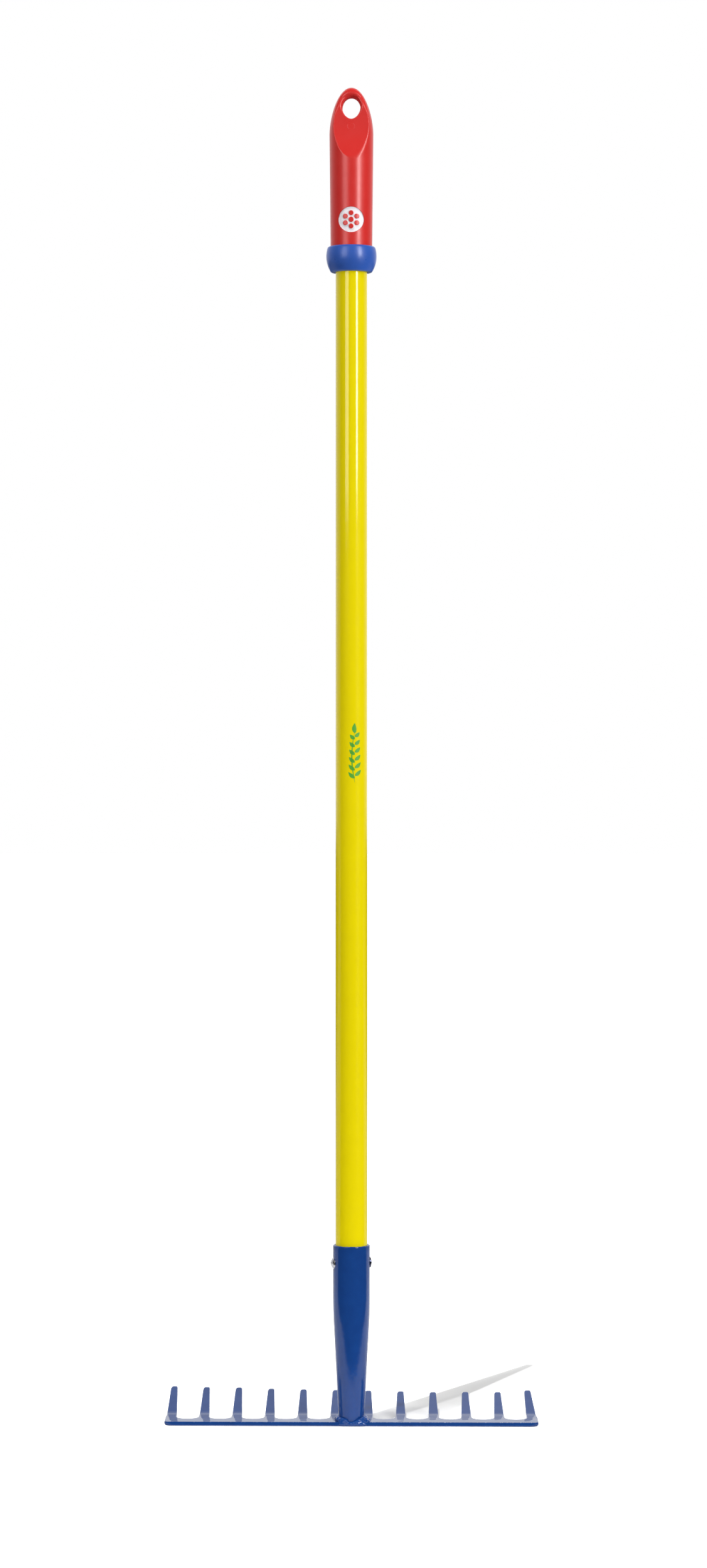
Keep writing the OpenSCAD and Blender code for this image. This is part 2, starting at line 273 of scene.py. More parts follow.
class Nodes:
    """Short ways to add nodes to a material."""

    def __init__(self, name):
        self.material = bpy.data.materials.new(name)
        self.material.use_nodes = True
        self.tree = self.material.node_tree
        self.shader = self.tree.nodes["Principled BSDF"]
        self.where = self.add("ShaderNodeTexCoord").outputs["Object"]

    def add(self, kind, links=(), **values):
        node = self.tree.nodes.new(kind)
        for key, value in values.items():
            setattr(node, key, value)
        for socket, source in dict(links).items():
            self.join(source, node.inputs[socket])
        return node

    def join(self, source, socket):
        if isinstance(source, (int, float, tuple)):
            socket.default_value = source
        else:
            self.tree.links.new(source, socket)

    def sides(self):
        return self.add("ShaderNodeSeparateXYZ", {"Vector": self.where}).outputs

    def along(self, direction):
        node = self.add("ShaderNodeVectorMath", {0: self.where, 1: direction}, operation="DOT_PRODUCT")
        return node.outputs["Value"]

    def noise(self, scale, detail=2.0, roughness=0.5):
        return self.add("ShaderNodeTexNoise", {"Vector": self.where, "Scale": scale, "Detail": detail,
                                               "Roughness": roughness}).outputs["Fac"]

    def spread(self, value, low, high, to_low, to_high):
        return self.add("ShaderNodeMapRange", {"Value": value, "From Min": low, "From Max": high,
                                               "To Min": to_low, "To Max": to_high}).outputs["Result"]

    def patches(self, scale, detail, low=0.0, high=1.0):
        """Noise, with its usual range spread from low to high."""
        return self.spread(self.noise(scale, detail), 0.3, 0.7, low, high)

    def math(self, operation, a, b=0.0):
        node = self.add("ShaderNodeMath", operation=operation)
        self.join(a, node.inputs[0])
        self.join(b, node.inputs[1])
        return node.outputs[0]

    def hypot(self, a, b):
        return self.math("SQRT", self.math("ADD", self.math("POWER", a, 2.0), self.math("POWER", b, 2.0)))

    def mix(self, share, a, b):
        node = self.add("ShaderNodeMix", data_type="RGBA")
        for socket, value in ((0, share), (6, a), (7, b)):
            self.join(value, node.inputs[socket])
        return node.outputs[2]

    def attribute(self, name):
        return self.add("ShaderNodeAttribute", attribute_name=name).outputs["Fac"]

    def bump(self, height, distance, strength=1.0, below=None):
        links = {"Height": height, "Distance": distance, "Strength": strength}
        if below is not None:
            links["Normal"] = below
        return self.add("ShaderNodeBump", links).outputs["Normal"]

    def finish(self, **sockets):
        for name, value in sockets.items():
            self.join(value, self.shader.inputs[name.replace("_", " ")])
        return self.material


def gloss_paint(name, colour, deep, peel, roughness, worn_glint=None, wave=None):
    """Glossy paint on steel with orange peel. An attribute, named by an argument, marks rubbed edges, where
    pale chips are worn paint with painted glints on it. Wave is the height of slow waves in the sheet, in
    metres."""
    n = Nodes(name)
    tint = n.mix(n.patches(90.0, 3.0), deep, colour)
    gloss = n.patches(240.0, 3.0, *roughness)
    normal = n.bump(n.noise(900.0), FINE_PEEL, peel)
    normal = n.bump(n.noise(260.0), COARSE_PEEL, peel, normal)
    if worn_glint:
        # pale chips: worn paint, and painted glints along the edge
        chip_glints = n.spread(n.noise(700.0, 3.0, 0.6), 0.54, 0.66, 0.0, 1.0)
        tint = n.mix(n.math("MULTIPLY", n.attribute(worn_glint), chip_glints), tint, PALE_CHIP_GLINT)
    if wave:
        normal = n.bump(n.noise(75.0, 1.0), wave, 1.0, normal)
    return n.finish(Base_Color=tint, Roughness=gloss, Normal=normal)


def hole_wall(n, height, half_w, half_h):
    """1 on the wall of an oval hole from front to back and 0 away from it."""
    sides = n.sides()
    across = n.math("DIVIDE", sides["X"], half_w)
    up = n.math("DIVIDE", n.math("SUBTRACT", sides["Z"], height), half_h)
    return n.spread(n.hypot(across, up), 1.02, 1.12, 1.0, 0.0)


def pin_ring(n, x, height, radius):
    """1 along a fine ring on the front and 0 away from it."""
    sides = n.sides()
    out = n.hypot(n.math("SUBTRACT", sides["X"], x), n.math("SUBTRACT", sides["Z"], height))
    ring = n.spread(n.math("ABSOLUTE", n.math("SUBTRACT", out, radius)), 0.0, 0.0004, 1.0, 0.0)
    return n.math("MULTIPLY", ring, n.spread(sides["Y"], -0.002, -0.001, 1.0, 0.0))


def moulded_plastic(name, colour, deep, roughness, grain, ring=None, hole=None):
    """Moulded plastic with a faint grain and slow changes of colour and gloss. A ring is the mark that an
    ejector pin leaves on the front, as its centre's X and Z and its radius. The wall of a hole is dull: it is
    given as the hole's height, half width and half height. Both are in metres."""
    n = Nodes(name)
    tint = n.mix(n.patches(45.0, 3.0), deep, colour)
    gloss = n.patches(160.0, 4.0, *roughness)
    normal = n.bump(n.noise(2200.0), FINE_GRAIN, grain)
    if hole:
        gloss = n.math("MAXIMUM", gloss, n.math("MULTIPLY", hole_wall(n, *hole), 0.9))
    if ring:
        normal = n.bump(pin_ring(n, *ring), RING_HEIGHT, 0.6, normal)
    normal = n.bump(n.noise(110.0), COARSE_GRAIN, grain, normal)
    return n.finish(Base_Color=tint, Roughness=gloss, Normal=normal)


def zinc_metal(name):
    """Dull bright zinc with hammer marks. Where a point attribute says so, it is painted dark navy:
    painted shade with the blue socket's reflection in it.
    """
    n = Nodes(name)
    clean = n.mix(n.noise(500.0, 4.0), ZINC_DULL, ZINC_BRIGHT)
    painted_shade = n.mix(n.noise(700.0, 3.0), PAINTED_SHADE_DARK, PAINTED_SHADE_PALE)
    tint = n.mix(n.attribute("painted_shade"), clean, painted_shade)
    normal = n.bump(n.noise(420.0), HAMMER_HEIGHT, 0.5)
    return n.finish(Base_Color=tint, Metallic=1.0, Roughness=n.patches(900.0, 3.0, 0.16, 0.36), Normal=normal)


head_paint = gloss_paint("head_paint", colour=(0.0080, 0.047, 0.202, 1.0), deep=(0.0070, 0.040, 0.178, 1.0),
                         peel=0.05, roughness=(0.03, 0.07), worn_glint="rub_glint", wave=0.00018)
socket_paint = gloss_paint("socket_paint", colour=(0.0085, 0.054, 0.240, 1.0),
                           deep=(0.0075, 0.046, 0.212, 1.0), peel=0.85, roughness=(0.06, 0.10))
tube_paint = gloss_paint("tube_paint", colour=(0.87, 0.715, 0.0005, 1.0), deep=(0.855, 0.70, 0.0005, 1.0),
                         peel=0.02, roughness=(0.08, 0.11))
grip_plastic = moulded_plastic("grip_plastic", colour=(0.69, 0.022, 0.017, 1.0),
                               deep=(0.66, 0.019, 0.015, 1.0), roughness=(0.30, 0.35), grain=0.12,
                               ring=(0.0, 0.9025, 0.0025),
                               hole=(HANG_Z * MM, HANG_W / 2 * MM, HANG_H / 2 * MM))
collar_plastic = moulded_plastic("collar_plastic", colour=(0.029, 0.108, 0.48, 1.0),
                                 deep=(0.026, 0.100, 0.45, 1.0), roughness=(0.27, 0.34), grain=0.8)
inlay_plastic = moulded_plastic("inlay_plastic", colour=(0.94, 0.91, 0.96, 1.0),
                                deep=(0.90, 0.87, 0.92, 1.0), roughness=(0.42, 0.52), grain=0.25)
print_ink = moulded_plastic("print_ink", colour=(0.10, 0.43, 0.035, 1.0), deep=(0.08, 0.38, 0.030, 1.0),
                            roughness=(0.30, 0.42), grain=0.2)
rivet_zinc = zinc_metal("rivet_zinc")


# Rake head

def head_height(x, y, radius, level):
    """Height and slope angle of the bent sheet at one level in it, where the bend has this radius."""
    tine = min(TINES - 1, max(0, round(x / PITCH + (TINES - 1) / 2)))
    rise = math.radians(TINE_RISE[tine])
    run = y - BEND_Y + SOFT_BEND_R * math.tan(rise / 2)
    if run <= 0:
        return level, 0.0
    if run < radius * math.sin(rise):
        return level + radius - math.sqrt(radius * radius - run * run), math.asin(run / radius)
    past = run - radius * math.sin(rise)
    return level + radius * (1 - math.cos(rise)) + past * math.tan(rise), rise


def tine_half(y):
    """Half the width of a tine."""
    return ROOT_W / 2 - (ROOT_W - TIP_W) / 2 / (TIP_Y - ROOT_Y) * (y - ROOT_Y)


def tine_edge(corner, start):
    """One edge of a tine from past a start to its tip, as (distance from the tine's middle line, y)."""
    across, along = corner
    tip = [(tine_half(TIP_Y - along + along * y) - across * (1 - x), TIP_Y - along + along * y)
           for x, y in arc((0, 0), 1, 0, 90, 10)]
    return [(tine_half(y), y) for y in TINE_ROWS if start < y < TIP_Y - along - 0.3] + tip


def head_plan():
    """Outline of the head from above, counter-clockwise, close enough together to bend and to chip."""
    front = arc((HEAD_HALF - CORNER_R - END_INSET, CORNER_R - BAR_FRONT), CORNER_R, -90, 0, 8)
    line = [(front[0][0] * (2.0 * k / FRONT_STEPS - 1), -BAR_FRONT) for k in range(1, FRONT_STEPS)]
    points = [(-x, y) for x, y in front[::-1]] + line + front + [(OUTER_HALF, ROOT_Y)]
    pad_end = PAD_Y + PAD_GAP_R + 0.1
    for tine in range(TINES - 1, -1, -1):
        x0 = PITCH * (tine - (TINES - 1) / 2)
        points += [(x0 + x, y) for x, y in tine_edge(TIP_RIGHT, pad_end * (tine == TINES // 2 - 1))]
        points += [(x0 - x, y) for x, y in tine_edge(TIP_LEFT, pad_end * (tine == TINES // 2))[::-1]]
        if tine == TINES // 2:
            points += arc((0, PAD_Y + PAD_GAP_R), PAD_GAP_R, 0, -180, 24)
        elif tine > 0:
            points += arc((x0 - PITCH / 2, ROOT_Y), GAP_R, 0, -180, 24)
    points = np.array(points + [(-OUTER_HALF, ROOT_Y)])
    # near-equal neighbours would spoil the offsets
    return points[np.linalg.norm(points - np.roll(points, 1, 0), axis=1) > 0.02]


def outward(points):
    """Outward miter vectors of a counter-clockwise outline."""
    before, after = points - np.roll(points, 1, 0), np.roll(points, -1, 0) - points
    before /= np.linalg.norm(before, axis=1)[:, None]
    after /= np.linalg.norm(after, axis=1)[:, None]
    normal = np.stack([before[:, 1] + after[:, 1], -before[:, 0] - after[:, 0]], 1)
    return normal / (1 + (before * after).sum(1))[:, None]


def cut_edge(lean, up_r, low_r):
    """Rings down the cut edge of the sheet as (inset, height, angle of the normal from straight up). The face
    leans back between a round upper corner and a lower one that the shears rolled over."""
    back = (SHEET_T - up_r - low_r) * math.cos(lean)
    up_in = (back + up_r - low_r + low_r * math.sin(lean)) / math.sin(lean)
    upper = [(up_in - up_r * math.sin(a), SHEET_T - up_r + up_r * math.cos(a), a)
             for a in np.linspace(0, lean, 5)]
    lower = [(low_r - low_r * math.sin(a), low_r + low_r * math.cos(a), a)
             for a in np.linspace(lean, math.pi, 10)]
    return upper + lower


def head_rings(plan):
    """Rings of points down the head's cut edge, with their normals and the share of worn paint and painted
    glints.
    """
    out = outward(plan)
    side = np.column_stack([out / np.linalg.norm(out, axis=1)[:, None], np.zeros(len(out))])
    front = plan[:, 1] < 0.02 - BAR_FRONT
    facing = np.clip(-side[:, 1], 0, 1)
    # 1 at both ends of the bar, where the lower corners are rubbed round
    ends = ramp(np.abs(plan[:, 0]), HEAD_HALF - 6.5, HEAD_HALF - 1.5) * ramp(plan[:, 1], 2.0, -4.0)
    ends = ends * ends * (3 - 2 * ends)
    rings, normals, rub_glint = [], [], []
    for cuts in zip(cut_edge(*FRONT_CUT), cut_edge(*TINE_CUT), cut_edge(*END_CUT)):
        inset, height, a = [(1 - ends) * (facing * f + (1 - facing) * t) + ends * e for f, t, e in zip(*cuts)]
        flat = plan - out * inset[:, None]
        z, slope = np.array([head_height(x, y, SOFT_BEND_R + SHEET_T - h, h)
                             for (x, y), h in zip(flat, height)]).T
        chipped = front & (a < 1.5) & (height < SHEET_T - 0.01)
        z[chipped] -= CHIP_DEPTH * np.maximum(ripple(5.1 * plan[chipped, 0], 2.3 * plan[chipped, 0]), 0)
        face = np.column_stack([0 * z, -np.sin(slope), np.cos(slope)])
        normal = face * np.cos(a)[:, None] + side * np.sin(a)[:, None]
        rings.append(np.column_stack([flat, z]))
        normals.append(normal / np.linalg.norm(normal, axis=1)[:, None])
        # rubbed paint along the upper corner of the bar's front, more to the right, painted pale as worn chips
        # and glints
        rub_glint.append(front * ((0.2 < a) & (a < 1.3)) * np.clip(0.8 + plan[:, 0] / 260, 0.35, 1.0))
    return rings, np.concatenate(normals), np.concatenate(rub_glint)


def make_head():
    rings, normals, rub_glint = head_rings(head_plan())
    count = len(rings[0])
    points = np.concatenate(rings)
    points[:, 0] -= TINE_SKEW * np.maximum(points[:, 1], 0)
    last = (points[:, 0] > PITCH * (TINES - 2) / 2) & (points[:, 1] > ROOT_Y)
    points[last, 0] -= LAST_LEAN * (points[last, 1] - ROOT_Y) / (TIP_Y - ROOT_Y)
    faces = [face[::-1] for face in ring_faces(len(rings), count, False)]
    loop = [Vector(p[:2]) for p in rings[0]]
    edges = [(j, (j + 1) % count) for j in range(count)]
    _, _, triangles, origin, _, _ = geometry.delaunay_2d_cdt(loop, edges, [], 1, 1e-6)
    bottom = (len(rings) - 1) * count
    for triangle in triangles:
        corner = [origin[i][0] for i in triangle]
        faces.append(tuple(corner))
        faces.append(tuple(bottom + i for i in reversed(corner)))
    mesh = bpy.data.meshes.new("head_sheet")
    mesh.from_pydata((points * MM).tolist(), [], faces)
    mesh.update()
    mesh.shade_smooth()
    mesh.normals_split_custom_set_from_vertices(normals.tolist())
    mesh.attributes.new("rub_glint", "FLOAT", "POINT").data.foreach_set("value", rub_glint.astype(np.float32))
    return add_object("head_sheet", mesh, head_paint)


dress(make_head(), "rake_head")


# Weld bead

# drops of weld metal as (x, y, height, radius): a smooth skirt over the bar's front, two mounds against the
# socket with a low puddle on the right and an uneven ring at the back, and small beads on them
WELD_SKIRT = [
    (-7.4, -8.0, 1.6, 1.7), (-5.2, -8.5, 1.7, 1.8), (-2.9, -8.7, 1.6, 1.7), (-0.4, -8.8, 1.5, 1.6),
    (2.0, -8.8, 1.6, 1.7), (4.6, -8.7, 1.7, 1.8), (7.0, -8.4, 1.6, 1.8), (9.3, -7.9, 1.5, 1.6),
]
WELD_DROPS = [
    (-3.9, -8.9, 3.5, 1.7), (-5.6, -7.9, 3.7, 2.1), (-7.3, -6.4, 3.6, 2.1), (-8.6, -4.4, 3.9, 2.4),
    (-8.5, -1.6, 4.1, 2.6), (-1.6, -9.4, 1.9, 1.2), (0.4, -9.3, 1.6, 1.4), (2.3, -9.3, 2.3, 1.5),
    (4.2, -8.7, 3.0, 1.7), (5.9, -7.9, 3.6, 1.8), (7.6, -6.6, 4.2, 2.1), (8.8, -4.2, 3.9, 2.3),
    (10.6, -4.6, 1.0, 3.5), (10.0, -1.2, 1.5, 3.6), (9.0, 1.6, 3.2, 2.7), (8.7, 4.4, 3.4, 2.9),
    (7.2, 7.4, 3.0, 3.2), (4.0, 9.1, 3.4, 2.9), (1.5, 10.4, 3.1, 3.1), (-2.6, 9.7, 3.4, 3.0),
    (-5.9, 8.7, 3.1, 3.2), (-8.4, 5.4, 3.5, 2.9), (-9.0, 2.4, 3.3, 2.9),
]
WELD_BEADS = [
    (-4.6, -9.6, 4.6, 0.8), (-6.9, -7.6, 5.0, 0.9), (-9.4, -3.0, 5.4, 0.9), (-2.6, -9.9, 3.1, 0.7),
    (3.3, -9.7, 3.3, 0.8), (5.2, -9.0, 4.5, 0.7), (7.0, -8.2, 5.3, 0.8), (8.6, -6.0, 5.7, 0.9),
    (11.6, -6.6, 3.3, 1.0), (12.4, -2.6, 3.3, 1.0), (6.9, 8.4, 5.3, 1.2), (-0.3, 10.4, 5.2, 1.1),
    (-7.3, 7.4, 5.3, 1.2),
]
SKIRT_SEAM, DROP_SEAM, BEAD_SEAM = 1.8, 0.9, 0.7
WELD_BOX = (-14.5, -14.5, 0.0), (14.5, 14.5, 8.5)
WELD_SINK, WELD_INTO_SOCKET, WELD_FLOOR = 0.25, 0.8, 0.5    # reach into sheet and socket, and lowest height
WELD_STEP = 0.26


def cone_radius(z):
    """Outside of the socket, with a soft change from its cone to its straight part."""
    slope = (SOCKET_R - FOOT_R) / (CONE_TOP_Z + 1.5 - SHEET_T)
    return soft_min(FOOT_R + slope * (z - SHEET_T), SOCKET_R + 0 * z, 0.5)


def weld_field(p):
    x, y, z = p[..., 0], p[..., 1], p[..., 2]
    bead = np.full(x.shape, 99.0)
    for drops, seam in ((WELD_SKIRT, SKIRT_SEAM), (WELD_DROPS, DROP_SEAM), (WELD_BEADS, BEAD_SEAM)):
        for place_x, place_y, height, radius in drops:
            drop = np.sqrt((x - place_x) ** 2 + (y - place_y) ** 2 + (z - height) ** 2) - radius
            bead = soft_min(bead, drop, seam)
    bead = bead + 0.05 + 0.07 * np.sin(2.1 * x + 0.4) * np.sin(1.9 * y + 1.3 * z) * np.sin(1.7 * z + 0.8 * x)
    inner = cone_radius(np.maximum(z, SHEET_T)) - WELD_INTO_SOCKET - np.hypot(x, y)
    sheet = np.minimum(SHEET_T - WELD_SINK - z, y + BAR_FRONT - WELD_SINK)
    return np.maximum(np.maximum(bead, inner), np.maximum(sheet, WELD_FLOOR - z))


def make_weld():
    points, faces = surface_net(weld_field, *WELD_BOX, WELD_STEP)
    return add_piece("weld_bead_lumps", points, faces, socket_paint, crease=60.0)


dress(make_weld(), "weld_bead")


# Socket

def make_socket():
    heights = np.concatenate([np.linspace(SHEET_T, CONE_TOP_Z - 8, 30),
                              np.linspace(CONE_TOP_Z - 7, CONE_TOP_Z + 8, 14),
                              np.linspace(CONE_TOP_Z + 10, RIM_Z - RIM_R, 18)])
    outer = [(float(cone_radius(np.array(z))), z) for z in heights]
    lip = arc((SOCKET_R - RIM_R, RIM_Z - RIM_R), RIM_R, 10, 90, 6)
    lip += arc((SOCKET_BORE_R + RIM_BORE_R, RIM_Z - RIM_BORE_R), RIM_BORE_R, 90, 180, 4)
    inner = [(SOCKET_BORE_R, CONE_TOP_Z), (FOOT_R - SOCKET_WALL, SHEET_T)]
    points, faces = turned(outer + lip + inner, SOCKET_TURNS)
    angle = np.arctan2(points[:, 1], points[:, 0])
    near_rim = ramp(points[:, 2], RIM_Z - 3.0, RIM_Z) ** 2
    points[:, 2] += near_rim * RIM_RIPPLE * ripple(7 * angle, 17 * angle, 29 * angle)
    outside = np.hypot(points[:, 0], points[:, 1]) > SOCKET_BORE_R - 2.0
    swell = 1 + outside * SWELL * ripple(3 * angle + points[:, 2] / 9, 2 * angle - points[:, 2] / 13)
    points[:, :2] *= np.minimum(swell, 1.0 + SWELL_MOST)[:, None]
    socket = add_piece("socket_tube", points, faces, socket_paint)
    cut_away(socket, [rivet_drill()])
    return socket


def rivet_frame(obj):
    """Turns a piece made along Z so that its +Z end is the tail of the rivet."""
    lay = Matrix.Rotation(RIVET_TURN, 4, "Z") @ Matrix.Rotation(math.pi / 2, 4, "Y")
    obj.data.transform(Matrix.Translation((0, 0, RIVET_Z * MM)) @ lay)
    return obj


def rivet_drill():
    reach = 30
    points, faces = turned([(0, -reach), (RIVET_R + FIT, -reach), (RIVET_R + FIT, reach), (0, reach)], 48)
    return rivet_frame(add_piece("drill", points, faces, rivet_zinc))


socket = dress(make_socket(), "socket")


# Rivet and its ring

def paint_shade_above(obj, height):
    """Marks the part of a piece above a height for painted shade, a dark navy in the zinc's colour."""
    dark = [float(v.co.z > height * MM) for v in obj.data.vertices]
    obj.data.attributes.new("painted_shade", "FLOAT", "POINT").data.foreach_set("value", dark)
    return obj


def dome(radius, height, base, steps):
    """Profile of a round cap that stands on a base height, from its edge to the axis."""
    ball = (radius * radius + height * height) / (2 * height)
    reach = math.degrees(math.asin(min(1.0, radius / ball)))
    return [(ball * math.sin(math.radians(a)), base + height - ball + ball * math.cos(math.radians(a)))
            for a in np.linspace(reach, 0, steps + 1)]


def on_socket(points, first, count):
    """Moves some rings of points along the rivet onto the outside of the socket."""
    rings = slice(first * RIVET_TURNS, (first + count) * RIVET_TURNS)
    side = np.sign(points[rings, 2])
    points[rings, 2] = side * np.sqrt(SOCKET_R ** 2 - np.minimum(points[rings, 1], SOCKET_R) ** 2)


def make_rivet():
    tail = dome(RIVET_R, PEEN_H, SOCKET_R + BURR_T, 10)
    cap = dome(RIVET_HEAD_R - RIVET_EDGE, RIVET_HEAD_H - RIVET_RIM_H, SOCKET_R + RIVET_RIM_H, 14)
    head = [(r, -z) for r, z in cap[::-1]] + [(RIVET_HEAD_R, -SOCKET_R - RIVET_RIM_H + 0.1)]
    seat = [(RIVET_HEAD_R, -SOCKET_R + RIVET_SINK), (RIVET_R, -SOCKET_R + RIVET_SINK)]
    points, faces = turned(head + seat + [(RIVET_R, SOCKET_R + BURR_T - RIVET_SINK)] + tail, RIVET_TURNS)
    on_socket(points, len(head), len(seat))
    wave = ripple(points[:, 0] * 2.1, points[:, 1] * 2.7 + 1)
    tip = points[:, 2] > SOCKET_R + BURR_T + 0.3
    points[tip, 2] += PEEN_DENT * wave[tip] - PEEN_DENT
    # the tail end takes the painted shade
    return rivet_frame(paint_shade_above(add_piece("rivet_domed", points, faces, rivet_zinc, crease=50.0), SOCKET_R))


def make_burr():
    top = SOCKET_R + BURR_T
    seat = [(RIVET_R + FIT, SOCKET_R), (BURR_R, SOCKET_R)]
    edge = arc((BURR_R - BURR_EDGE_R, top - BURR_EDGE_R), BURR_EDGE_R, 0, 90, 4)
    points, faces = turned(seat + edge + [(RIVET_R + FIT, top)], RIVET_TURNS)
    on_socket(points, 0, len(seat))
    # the whole ring takes the painted shade
    return rivet_frame(paint_shade_above(add_piece("rivet_ring", points, faces, rivet_zinc, crease=40.0), 0.0))


dress(make_rivet(), "rivet")
dress(make_burr(), "rivet_burr")


# Shaft

def make_shaft():
    inner, edge = SHAFT_R - SHAFT_WALL, SHAFT_R - SHAFT_EDGE
    rows = np.linspace(SHAFT_Z + SHAFT_EDGE, SHAFT_TOP - SHAFT_EDGE, 40)
    outer = [(edge, SHAFT_Z)] + [(SHAFT_R, z) for z in rows] + [(edge, SHAFT_TOP)]
    points, faces = turned([(inner, SHAFT_Z)] + outer + [(inner, SHAFT_TOP)])
    shaft = add_piece("shaft_tube", points, faces, tube_paint)
    cut_away(shaft, [rivet_drill()])
    return shaft


shaft = dress(make_shaft(), "shaft")


# Collar

def make_collar():
    bulge_x = COLLAR_R - COLLAR_BULGE_R
    reach = COLLAR_BULGE_R - COLLAR_EDGE_R
    low, high = COLLAR_EDGE_R, COLLAR_H - COLLAR_EDGE_R
    tilt_low, tilt_high = [math.asin((z - COLLAR_CREST) / reach) for z in (low, high)]
    low_x, high_x = [bulge_x + math.sqrt(reach ** 2 - (z - COLLAR_CREST) ** 2) for z in (low, high)]
    tilt_low, tilt_high = math.degrees(tilt_low), math.degrees(tilt_high)
    seat_r, bore_r = GRIP_END_R + FIT, SHAFT_R + FIT
    profile = arc((low_x, low), COLLAR_EDGE_R, -90, tilt_low, 10)
    profile += arc((bulge_x, COLLAR_CREST), COLLAR_BULGE_R, tilt_low, tilt_high, 28)[1:-1]
    profile += arc((high_x, high), COLLAR_EDGE_R, tilt_high, 90, 10)
    profile += arc((seat_r + COLLAR_LIP_R, COLLAR_H - COLLAR_LIP_R), COLLAR_LIP_R, 90, 180, 4)
    profile += [(seat_r, COLLAR_H - COLLAR_SEAT), (bore_r, COLLAR_H - COLLAR_SEAT)]
    profile += arc((bore_r + COLLAR_LIP_R, COLLAR_LIP_R), COLLAR_LIP_R, 180, 270, 4)
    points, faces = turned([(r, COLLAR_Z + z) for r, z in profile])
    return add_piece("collar_ring", points, faces, collar_plastic, crease=40.0)


collar = dress(make_collar(), "collar")


# Grip

GRIP_HALF, GRIP_STEP = 15.6, 0.4    # half width and step of the grid that the grip is meshed in
# radius of the edge of the hollows, and how much it grows at the top and on the right; the same for the rim of
# the hole, which grows at its upper front
HOLLOW_EDGE_R, HOLLOW_TOP, HOLLOW_RIGHT = 0.2, 2.4, 0.7
HOLE_RIM_R, HOLE_TOP = 0.6, 3.2


def skin_radius(z):
    """Radius of the tapered part of the grip."""
    return GRIP_END_R + (GRIP_R - GRIP_END_R) * ramp(z, GRIP_Z, GRIP_Z + NOSE_H)


def hole_field(x, up, power, tall):
    """About the distance inside an oval hole, at a height up from its middle."""
    across, along = np.maximum(np.abs(x), 1e-6) / (HANG_W / 2), up / tall
    reach = np.sqrt(across ** power + along ** 2)
    slope = np.hypot(power * across ** (power - 1) / (HANG_W / 2), 2 * along / tall) / (2 * reach)
    return (1 - reach) / np.maximum(slope, 0.05)


def grip_field(p):
    x, y, z = p[..., 0], p[..., 1], p[..., 2]
    out = np.hypot(x, y)
    rise = np.maximum((z - GRIP_Z - NOSE_H) / NOSE_L, 0)
    nose = (out / GRIP_R) ** 2 + rise ** NOSE_POWER - 1
    nose_slope = np.hypot(2 * out / GRIP_R ** 2, NOSE_POWER * rise ** (NOSE_POWER - 1) / NOSE_L)
    body = np.where(rise > 0, nose / np.maximum(nose_slope, 0.02), out - skin_radius(z))
    body = np.maximum(body, GRIP_Z - z)
    soft_top = HOLLOW_TOP * ramp(z, 911.0, 923.0)
    soft_right = HOLLOW_RIGHT * ramp(x, -3.0, 3.0) * ramp(z, 903.0, 891.0)
    for face in (-1, 1):
        scoop = SCOOP_R - np.hypot(y - face * (TONGUE_T / 2 + SCOOP_R), z - SCOOP_Z)
        body = round_max(body, scoop, HOLLOW_EDGE_R + soft_top + soft_right)
    # the lower end of the hole is a little pointed
    up = z - HANG_Z
    hole = hole_field(x, up, np.where(up < 0, 1.8, 2.0), np.where(up < 0, HANG_H / 2, HANG_TOP))
    rim = HOLE_RIM_R + HOLE_TOP * ramp(up, -4.0, 7.0) * ramp(y, 3.0, -3.0)
    return round_max(body, hole, rim)


def on_skin(x, z, height):
    """Point on the front of the grip, at a height above its skin."""
    radius = skin_radius(z) + height
    return np.stack([x, -np.sqrt(np.maximum(radius ** 2 - x ** 2, 0)), z], -1)


def skin_plate(centre, profile, turns):
    """Closed plate on the grip's skin from a profile of (radius, height above the skin)."""
    angle = np.arange(turns) * 2 * math.pi / turns
    rings = [on_skin(centre[0] + r * np.cos(angle), centre[1] + r * np.sin(angle), h) for r, h in profile]
    return np.concatenate(rings), ring_faces(len(profile), turns, False)


def make_grip():
    box = (-GRIP_HALF, -GRIP_HALF, GRIP_Z), (GRIP_HALF, GRIP_HALF, GRIP_Z + GRIP_L)
    points, faces = surface_net(grip_field, *box, GRIP_STEP)
    grip = add_piece("grip_body", points, faces, grip_plastic, crease=60.0)
    low, high, reach = -BADGE_INSET - BADGE_T - FIT / 2, 0.6, BADGE_R + FIT / 2
    steps = (0, reach * 0.35, reach * 0.7, reach)
    shape = [(r, low) for r in steps] + [(r, high) for r in steps[::-1]]
    points, faces = skin_plate((0, BADGE_Z), shape, 128)
    pocket = add_piece("pocket", points, faces, grip_plastic)
    bore_r, start, end = SHAFT_R + FIT, GRIP_Z - 5, GRIP_Z + GRIP_BORE_L
    points, faces = turned([(0, start), (bore_r, start), (bore_r, end), (0, end)], 96)
    bore = add_piece("bore", points, faces, grip_plastic)
    cut_away(grip, [pocket, bore], crease=40.0)
    return grip


dress(make_grip(), "grip")


# Badge

def make_badge():
    low, rim = -BADGE_INSET - BADGE_T, -BADGE_INSET
    flat = rim - BADGE_SINK
    under = [(0, low), (BADGE_R * 0.5, low), (BADGE_R, low)]
    edge = [(BADGE_R, rim - 0.15), (BADGE_R - 0.05, rim - 0.05), (BADGE_R - 0.15, rim), (BADGE_R - 0.45, rim),
            (BADGE_R - 0.55, rim - 0.04), (BADGE_R - 0.6, flat)]
    middle = [(BADGE_R * k, flat) for k in (0.75, 0.5, 0.25, 0)]
    points, faces = skin_plate((0, BADGE_Z), under + edge + middle, 128)
    return add_piece("badge_inlay", points, faces, inlay_plastic, crease=30.0)


